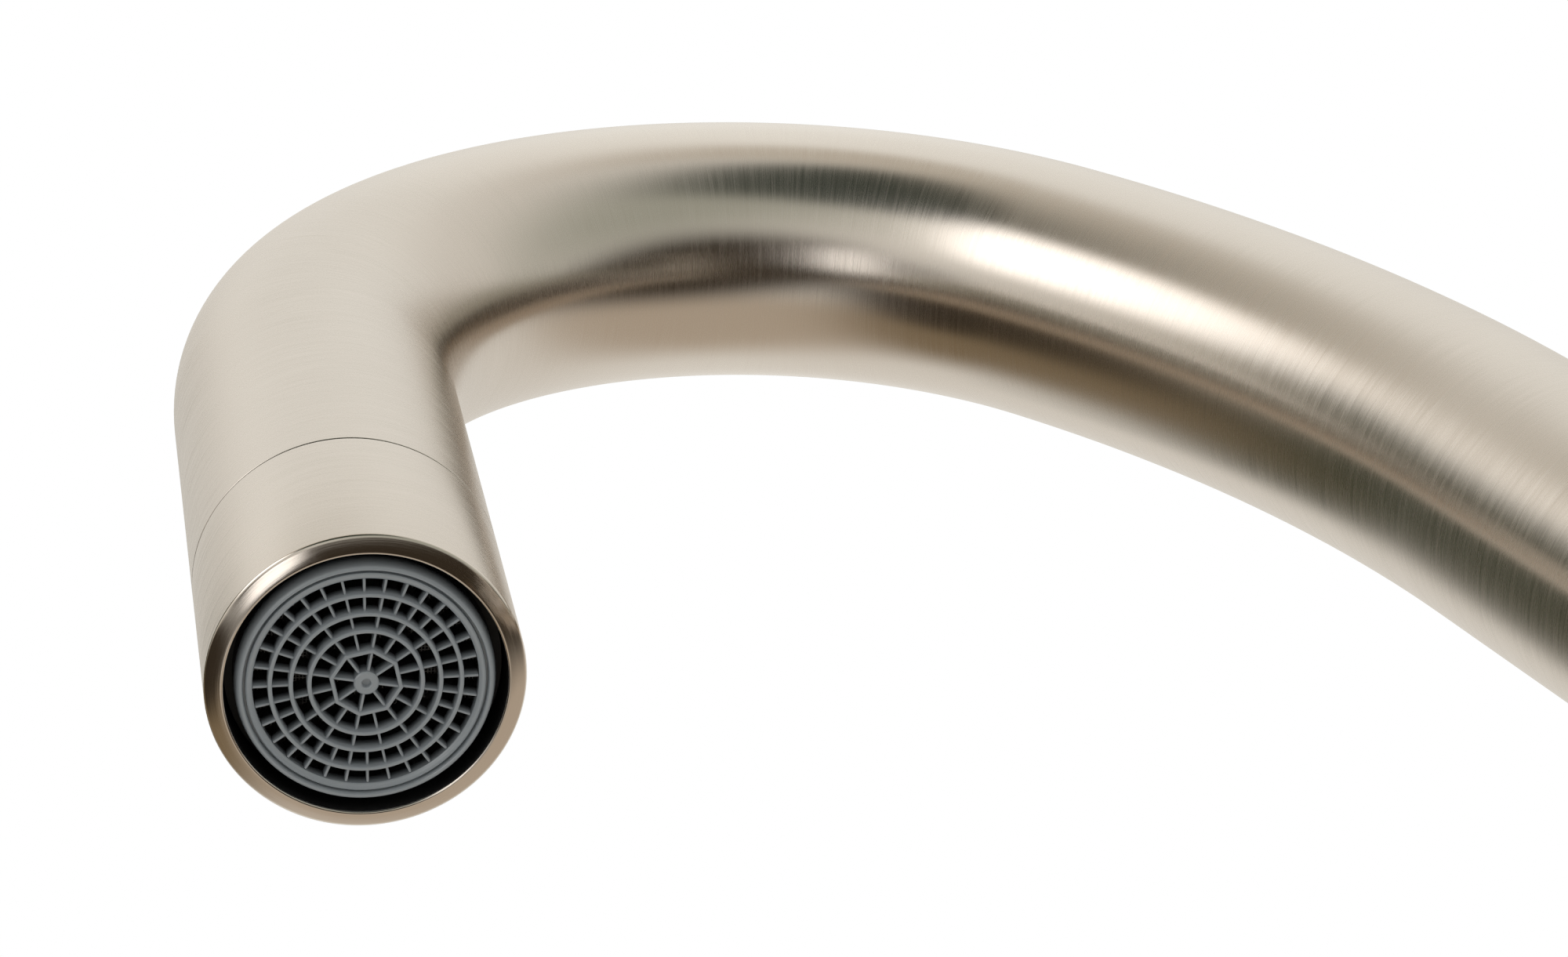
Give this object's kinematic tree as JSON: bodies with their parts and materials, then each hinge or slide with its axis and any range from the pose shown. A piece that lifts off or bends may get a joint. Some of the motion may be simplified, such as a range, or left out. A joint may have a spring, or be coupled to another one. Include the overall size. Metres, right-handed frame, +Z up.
{
  "type": "pull down kitchen faucet",
  "caption": "Single lever high arc kitchen faucet whose short docked wand pulls out of the brushed spout on a hose; hidden aerator, side cartridge, deck shank.",
  "frame": {"origin": "on the deck's top surface, on the axis of the riser, the shank and the deck hole", "axes": "+Z up along the riser; the spout reaches towards -Y, the user's side; the handle is on +X"},
  "size_m": [0.1106, 0.1629, 0.5385],
  "materials": {
    "brushed_nickel": "circumferentially brushed satin nickel",
    "brass": "machined brass",
    "copper": "drawn copper",
    "steel": "plain steel",
    "magnet": "nickel plated magnet",
    "grey_plastic": "satin grey moulded acetal",
    "white_plastic": "natural acetal",
    "dark_plastic": "black glass filled nylon",
    "ceramic": "lapped alumina",
    "rubber": "black EPDM",
    "hose": "braided nylon over PEX"
  },
  "bodies": {
    "valve": {"valve_body": "brushed_nickel", "spout_stop_screw": "steel", "cartridge_housing": "dark_plastic", "cartridge_base": "white_plastic", "base_seals": "rubber", "fixed_disc": "ceramic", "cartridge_nut": "brass", "trim_dome": "brushed_nickel", "base_flange": "brushed_nickel", "deck_gasket": "rubber", "shank": "brass", "rubber_washer": "rubber", "steel_washer": "steel", "mounting_nut": "brass", "nut_screws": "steel", "tube_guide": "white_plastic", "hot_tail": "copper", "cold_tail": "copper", "mixed_tail": "copper", "hot_fitting": "brass", "cold_fitting": "brass", "quick_nipple": "brass", "quick_oring": "rubber"},
    "spout": {"spout_tube": "brushed_nickel", "spout_foot": "brass", "glide_rings": "white_plastic", "swivel_orings": "rubber", "dock_magnet": "magnet", "dock_sleeve": "white_plastic", "pull_hose": "hose"},
    "turret": {"turret": "white_plastic", "turret_oring": "rubber", "cross_pin": "steel"},
    "lever": {"stem": "brass", "handle_hub": "brushed_nickel", "lever_rod": "brushed_nickel", "handle_screw": "steel", "screw_cap": "grey_plastic"},
    "disc": {"moving_disc": "ceramic", "disc_carrier": "white_plastic"},
    "hose": {"hose_nipple": "brass", "nipple_oring": "rubber", "hose_ferrule": "steel", "hose_end": "hose"},
    "wand": {"wand_shell": "brushed_nickel", "wand_core": "dark_plastic", "strike_ring": "steel", "aerator_grid": "grey_plastic", "aerator_case": "white_plastic", "aerator_screens": "steel", "flow_regulator": "white_plastic", "aerator_filter": "white_plastic", "aerator_seal": "rubber", "check_valve_case": "white_plastic", "filter_washer": "rubber", "hose_nut": "brass"},
    "poppet": {"check_valve_poppet": "white_plastic"}
  },
  "joints": [
    {"name": "spout_swivel", "type": "hinge", "parent": "valve", "child": "spout", "pos_m": [0, 0, 0.098], "axis": [0, 0, 1], "range_deg": [-75, 75]},
    {"name": "wand_pull", "type": "slide", "parent": "spout", "child": "hose", "axis": [0, -0.284, -0.9588], "range_m": [0, 0.4], "deforming": ["hose_end"]},
    {"name": "wand_swivel", "type": "hinge", "parent": "hose", "child": "wand", "pos_m": [0, -0.12172, 0.24999], "axis": [0, -0.284, -0.9588], "continuous": true},
    {"name": "check_valve_open", "type": "slide", "parent": "wand", "child": "poppet", "axis": [0, -0.284, -0.9588], "range_m": [0, 0.002]},
    {"name": "temperature_turn", "type": "hinge", "parent": "valve", "child": "turret", "pos_m": [0.0385, 0, 0.062], "axis": [1, 0, 0], "range_deg": [-45, 45]},
    {"name": "lever_lift", "type": "hinge", "parent": "turret", "child": "lever", "pos_m": [0.0385, 0, 0.062], "axis": [0, 1, 0], "range_deg": [0, 25]},
    {"name": "disc_slide", "type": "slide", "parent": "turret", "child": "disc", "axis": [0, 0, 1], "range_m": [0, 0.00433]}
  ],
  "couplings": [
    {"joint": "disc_slide", "follows": "lever_lift", "m_per_rad": 0.0099209}
  ]
}
